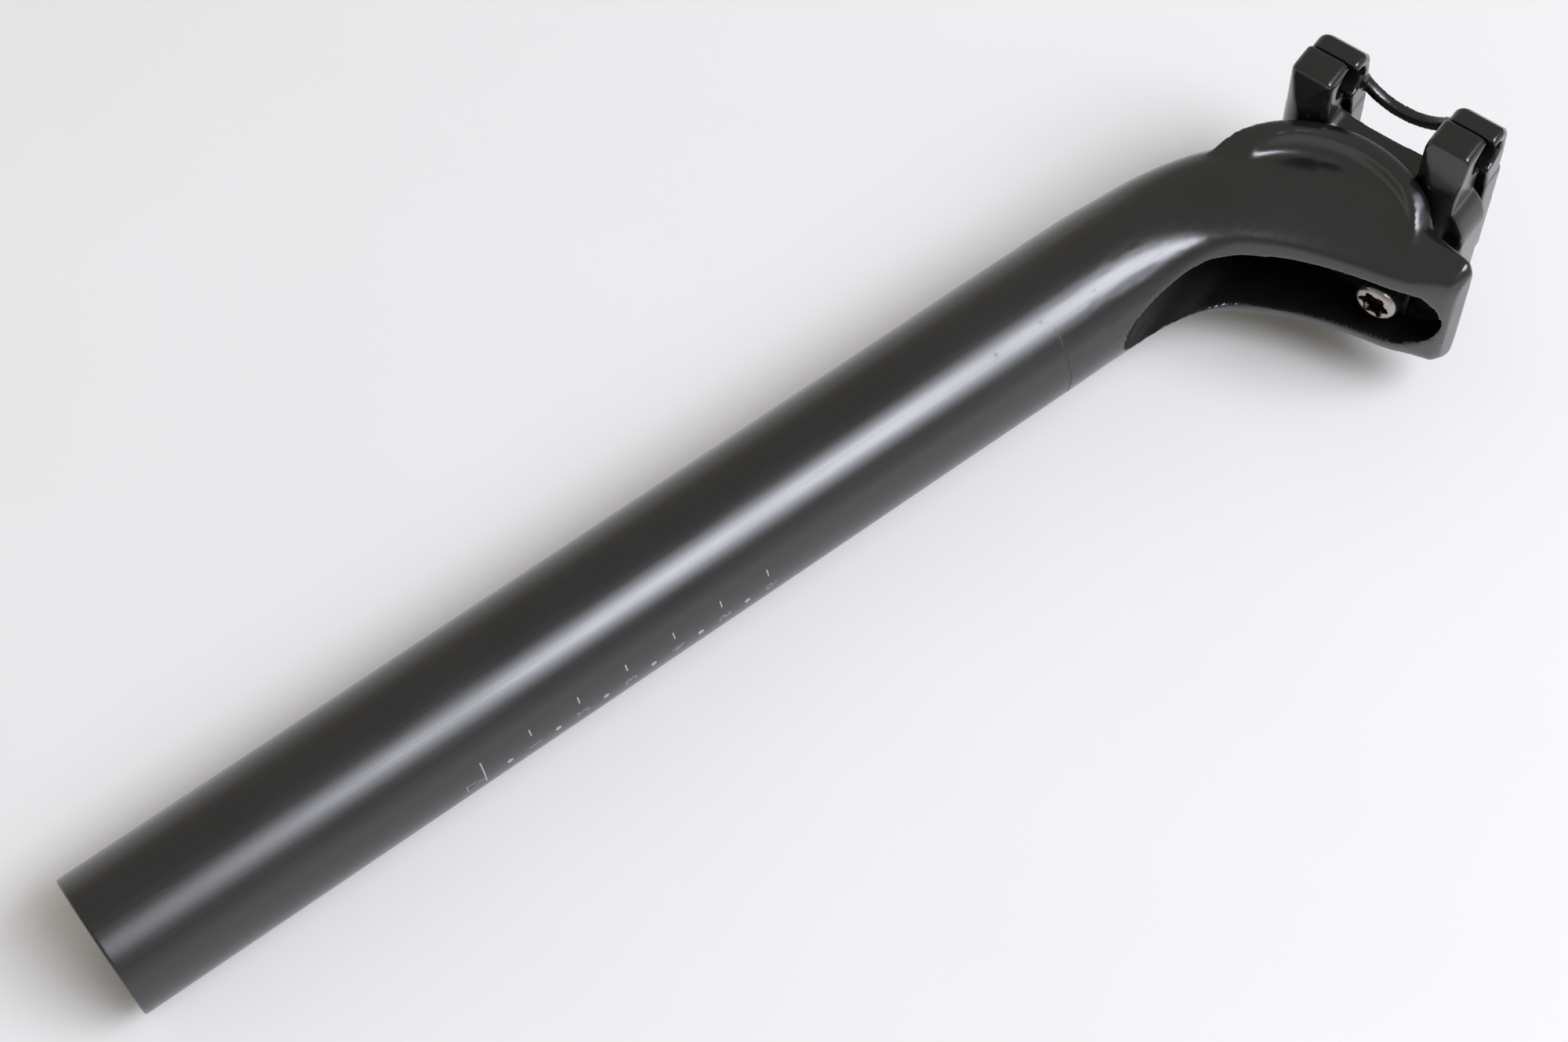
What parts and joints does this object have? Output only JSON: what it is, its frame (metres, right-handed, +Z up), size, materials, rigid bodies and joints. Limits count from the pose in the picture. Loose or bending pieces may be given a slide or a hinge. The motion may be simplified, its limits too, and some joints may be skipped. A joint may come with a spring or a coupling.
{
  "type": "bicycle seatpost",
  "caption": "Setback bicycle seatpost: round tube with a printed scale, bent-back head with a bolt pocket, and a tilting clamp on an arch for the saddle's rails.",
  "frame": {"origin": "bottom centre of the bounding box, on the floor that the post lies on", "axes": "+X along the longest extent, from the tube's open end to the clamp; +Z up, with the post on its side"},
  "size_m": [0.2878, 0.0602, 0.0544],
  "materials": {
    "black_post": "black, satin on the tube and semi-gloss on the head",
    "black_clamp": "black anodised",
    "stainless": "bright stainless",
    "dark_steel": "blackened"
  },
  "bodies": {
    "post": {"post": "black_post"},
    "clamp": {"lower_cradle": "black_clamp", "upper_clamp": "black_clamp"},
    "front_bolt_set": {"front_bolt": "stainless", "front_washer": "dark_steel"},
    "rear_bolt_set": {"rear_bolt": "stainless", "rear_washer": "dark_steel"},
    "front_nut": {"front_barrel_nut": "stainless"},
    "rear_nut": {"rear_barrel_nut": "stainless"}
  },
  "joints": [
    {"name": "clamp_tilt", "type": "hinge", "parent": "post", "child": "clamp", "pos_m": [0.09852, -0.00511, 0.02567], "axis": [-0.0514, -0.0158, 0.9986], "range_deg": [-8, 8]},
    {"name": "front_bolt_swing", "type": "hinge", "parent": "post", "child": "front_bolt_set", "pos_m": [0.10493, 0.01077, 0.02625], "axis": [-0.0514, -0.0158, 0.9986], "range_deg": [-11.5, 11.5]},
    {"name": "rear_bolt_swing", "type": "hinge", "parent": "post", "child": "rear_bolt_set", "pos_m": [0.11331, -0.01658, 0.02625], "axis": [-0.0514, -0.0158, 0.9986], "range_deg": [-11.5, 11.5]},
    {"name": "front_nut_turn", "type": "hinge", "parent": "clamp", "child": "front_nut", "pos_m": [0.12995, 0.01842, 0.02766], "axis": [-0.0514, -0.0158, 0.9986], "range_deg": [-3.5, 3.5]},
    {"name": "rear_nut_turn", "type": "hinge", "parent": "clamp", "child": "rear_nut", "pos_m": [0.13832, -0.00892, 0.02766], "axis": [-0.0514, -0.0158, 0.9986], "range_deg": [-3.5, 3.5]}
  ],
  "couplings": [
    {"joint": "front_bolt_swing", "follows": "clamp_tilt", "ratio": 1.4122},
    {"joint": "rear_bolt_swing", "follows": "clamp_tilt", "ratio": 1.4122},
    {"joint": "front_nut_turn", "follows": "clamp_tilt", "ratio": 0.41221},
    {"joint": "rear_nut_turn", "follows": "clamp_tilt", "ratio": 0.41221}
  ]
}
